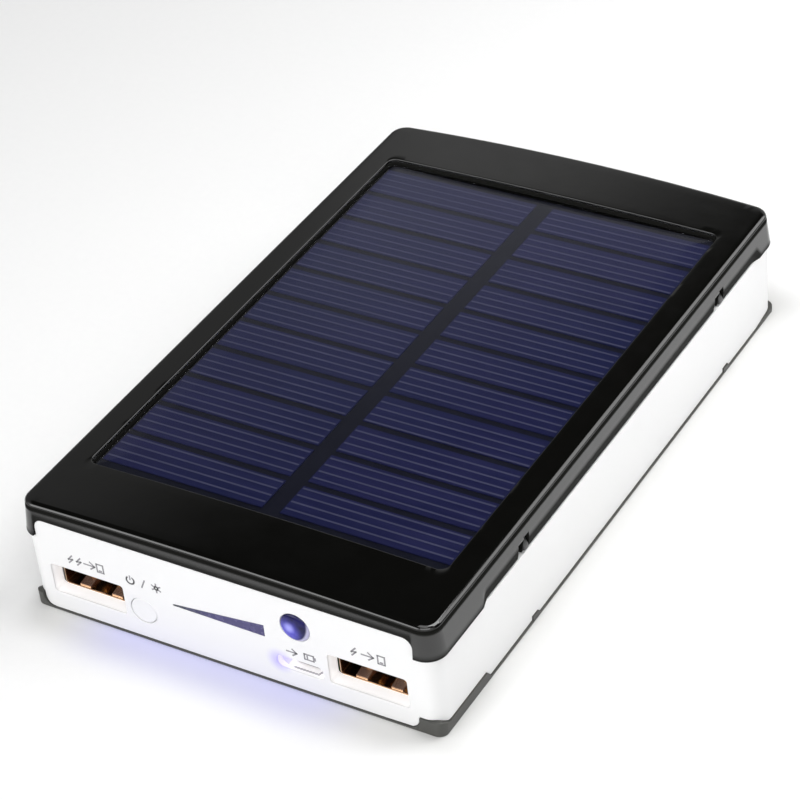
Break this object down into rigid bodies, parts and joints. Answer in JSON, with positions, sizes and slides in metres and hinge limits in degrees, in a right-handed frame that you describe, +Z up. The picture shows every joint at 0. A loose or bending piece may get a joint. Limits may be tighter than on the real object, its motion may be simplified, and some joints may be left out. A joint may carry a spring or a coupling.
{
  "type": "solar phone charger",
  "caption": "Flat solar power bank: crowned black lid with a cell panel, white frame with USB output sockets, a micro-USB input, a push button, a wedge gauge and a torch lamp.",
  "frame": {"origin": "middle of the footprint, on the surface it lies on", "axes": "+X across the ports towards the right-hand USB socket as seen from the ports, +Y from the ports towards the rear end, +Z up through the solar panel"},
  "size_m": [0.0764, 0.1225, 0.0219],
  "materials": {
    "cover_black": "moulded, satin gloss",
    "frame_white": "moulded, high gloss",
    "base_grey": "moulded, fine texture",
    "panel_backing": "laminate board",
    "panel_resin": "clear cast resin",
    "solar_cell": "dark blue silicon with pale finger lines",
    "steel": "bright sheet",
    "black_nylon": "moulded",
    "pouch_foil": "laminated foil",
    "foam": "closed-cell foam",
    "board_green": "solder mask",
    "guide_blue": "tinted clear moulding",
    "lens_blue": "tinted clear resin",
    "lamp_epoxy": "moulded",
    "ferrite": "pressed ferrite",
    "chip_black": "moulded",
    "nickel": "plated",
    "wire_red": "insulated wire",
    "wire_black": "insulated wire",
    "print_grey": "pad print",
    "contact_gold": "gold plated"
  },
  "bodies": {
    "case": {"middle_frame": "frame_white", "top_cover": "cover_black", "bottom_cover": "base_grey", "panel_board": "panel_backing", "panel_resin": "panel_resin", "cell_left_01": "solar_cell", "cell_left_02": "solar_cell", "cell_left_03": "solar_cell", "cell_left_04": "solar_cell", "cell_left_05": "solar_cell", "cell_left_06": "solar_cell", "cell_left_07": "solar_cell", "cell_left_08": "solar_cell", "cell_left_09": "solar_cell", "cell_left_10": "solar_cell", "cell_left_11": "solar_cell", "cell_right_01": "solar_cell", "cell_right_02": "solar_cell", "cell_right_03": "solar_cell", "cell_right_04": "solar_cell", "cell_right_05": "solar_cell", "cell_right_06": "solar_cell", "cell_right_07": "solar_cell", "cell_right_08": "solar_cell", "cell_right_09": "solar_cell", "cell_right_10": "solar_cell", "cell_right_11": "solar_cell", "battery_lower": "pouch_foil", "battery_upper": "pouch_foil", "battery_pad": "foam", "cell_strap_left": "nickel", "cell_strap_right": "nickel", "main_board": "board_green", "board_screw_left": "steel", "board_screw_right": "steel", "usb_left_shell": "steel", "usb_left_tongue": "black_nylon", "usb_right_shell": "steel", "usb_right_tongue": "black_nylon", "micro_usb_shell": "steel", "micro_usb_tongue": "black_nylon", "switch_base": "black_nylon", "gauge_guide": "guide_blue", "gauge_lamp_1": "lamp_epoxy", "gauge_lamp_2": "lamp_epoxy", "gauge_lamp_3": "lamp_epoxy", "gauge_lamp_4": "lamp_epoxy", "torch_lamp": "lens_blue", "boost_inductor": "ferrite", "boost_chip": "chip_black", "control_chip": "chip_black", "output_capacitor": "nickel", "solar_diode": "chip_black", "battery_lead_plus": "wire_red", "battery_lead_minus": "wire_black", "solar_lead_plus": "wire_red", "solar_lead_minus": "wire_black"},
    "button": {"button_cap": "frame_white"},
    "plunger": {"switch_plunger": "black_nylon"}
  },
  "joints": [
    {"name": "button_press", "type": "slide", "parent": "case", "child": "button", "axis": [0, 1, 0], "range_m": [0, 0.0004], "stiffness_N_per_m": 1500},
    {"name": "plunger_press", "type": "slide", "parent": "case", "child": "plunger", "axis": [0, 1, 0], "range_m": [0, 0.0004]}
  ],
  "couplings": [
    {"joint": "plunger_press", "follows": "button_press", "ratio": 1}
  ]
}
